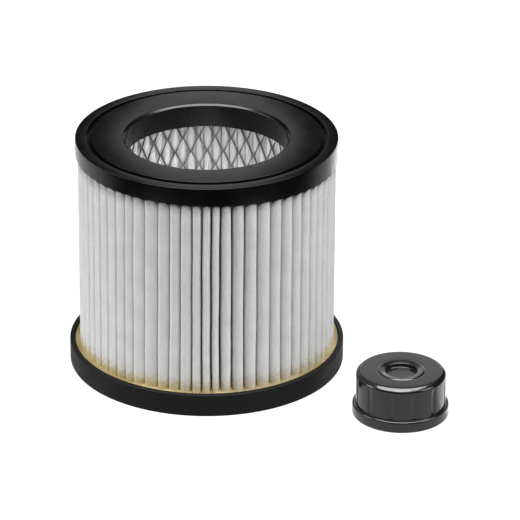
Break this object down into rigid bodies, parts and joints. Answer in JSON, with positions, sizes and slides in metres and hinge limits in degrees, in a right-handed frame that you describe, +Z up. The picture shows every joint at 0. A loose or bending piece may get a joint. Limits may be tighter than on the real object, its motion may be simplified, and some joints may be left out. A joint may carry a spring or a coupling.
{
  "type": "vacuum cleaner filter",
  "caption": "Pleated cartridge filter with an open moulded end ring, an expanded metal core and a bottom pan, with its fluted screw cap taken off beside it.",
  "frame": {"origin": "centre of the pan's underside, on the axis of the stud hole", "axes": "+Z up along the cartridge's axis towards the open end ring; +X to the right in the picture, the side where the cap stands"},
  "size_m": [0.1919, 0.1593, 0.1232],
  "materials": {
    "end_ring": "semi-gloss moulded",
    "pleats": "needled felt, folded",
    "core_metal": "expanded mesh",
    "pan": "matte black",
    "potting": "yellowish cast glue",
    "cap": "gloss moulded"
  },
  "bodies": {
    "root": {"top_end_ring": "end_ring", "pleated_media": "pleats", "support_core": "core_metal", "bottom_pan": "pan", "potting_ring": "potting", "retaining_cap": "cap"}
  },
  "joints": []
}
